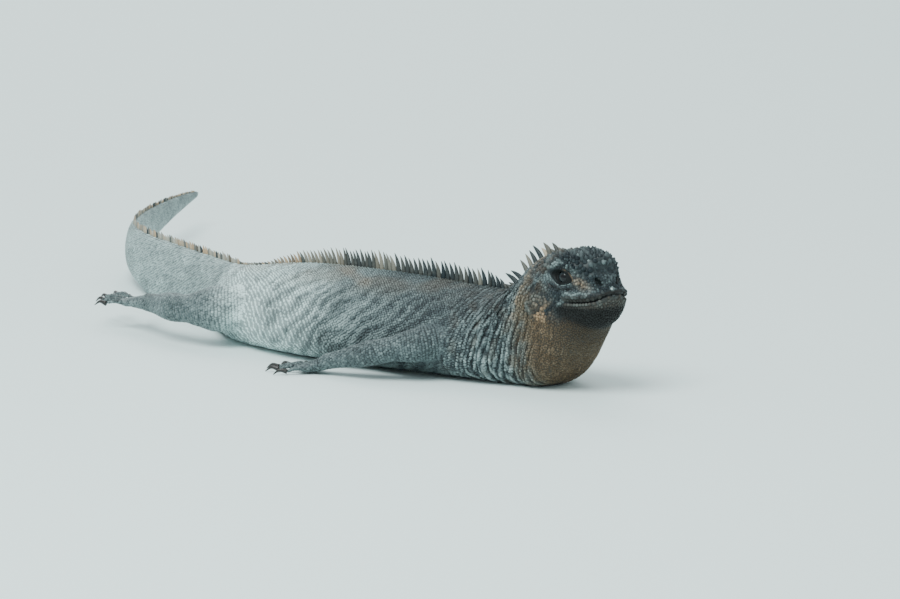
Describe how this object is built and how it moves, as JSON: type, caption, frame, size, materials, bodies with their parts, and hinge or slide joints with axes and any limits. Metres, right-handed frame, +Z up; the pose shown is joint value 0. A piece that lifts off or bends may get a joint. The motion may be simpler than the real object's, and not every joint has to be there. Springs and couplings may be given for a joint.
{
  "type": "marine iguana model",
  "caption": "Life-size marine iguana lying on its belly in a swimming pose: head raised, legs swept back, tail curving to its left, spined crest from nape to tail.",
  "frame": {"origin": "middle of the bounding box's base, on the floor", "axes": "+Z up, +X towards the head end of the trunk, +Y towards the animal's left, the side the tail curves to"},
  "size_m": [0.7912, 0.5386, 0.1188],
  "materials": {
    "body_skin": "matte, fine scales",
    "tail_skin": "matte, keeled scales",
    "head_skin": "matte, horny tubercles",
    "throat_skin": "matte, folded",
    "eye": "wet gloss",
    "claw_horn": "satin horn"
  },
  "bodies": {
    "root": {"eye_left": "eye", "eye_right": "eye", "fore_leg_left_claw_1": "claw_horn", "fore_leg_left_claw_2": "claw_horn", "fore_leg_left_claw_3": "claw_horn", "fore_leg_left_claw_4": "claw_horn", "fore_leg_left_claw_5": "claw_horn", "fore_leg_left_foot": "body_skin", "fore_leg_left_lower": "body_skin", "fore_leg_left_upper": "body_skin", "fore_leg_right_claw_1": "claw_horn", "fore_leg_right_claw_2": "claw_horn", "fore_leg_right_claw_3": "claw_horn", "fore_leg_right_claw_4": "claw_horn", "fore_leg_right_claw_5": "claw_horn", "fore_leg_right_foot": "body_skin", "fore_leg_right_lower": "body_skin", "fore_leg_right_upper": "body_skin", "head": "head_skin", "hind_leg_left_claw_1": "claw_horn", "hind_leg_left_claw_2": "claw_horn", "hind_leg_left_claw_3": "claw_horn", "hind_leg_left_claw_4": "claw_horn", "hind_leg_left_claw_5": "claw_horn", "hind_leg_left_foot": "body_skin", "hind_leg_left_lower": "body_skin", "hind_leg_left_upper": "body_skin", "hind_leg_right_claw_1": "claw_horn", "hind_leg_right_claw_2": "claw_horn", "hind_leg_right_claw_3": "claw_horn", "hind_leg_right_claw_4": "claw_horn", "hind_leg_right_claw_5": "claw_horn", "hind_leg_right_foot": "body_skin", "hind_leg_right_lower": "body_skin", "hind_leg_right_upper": "body_skin", "lower_jaw": "head_skin", "neck": "throat_skin", "tail_1": "tail_skin", "tail_2": "tail_skin", "tail_3": "tail_skin", "tail_4": "tail_skin", "torso": "body_skin"}
  },
  "joints": []
}
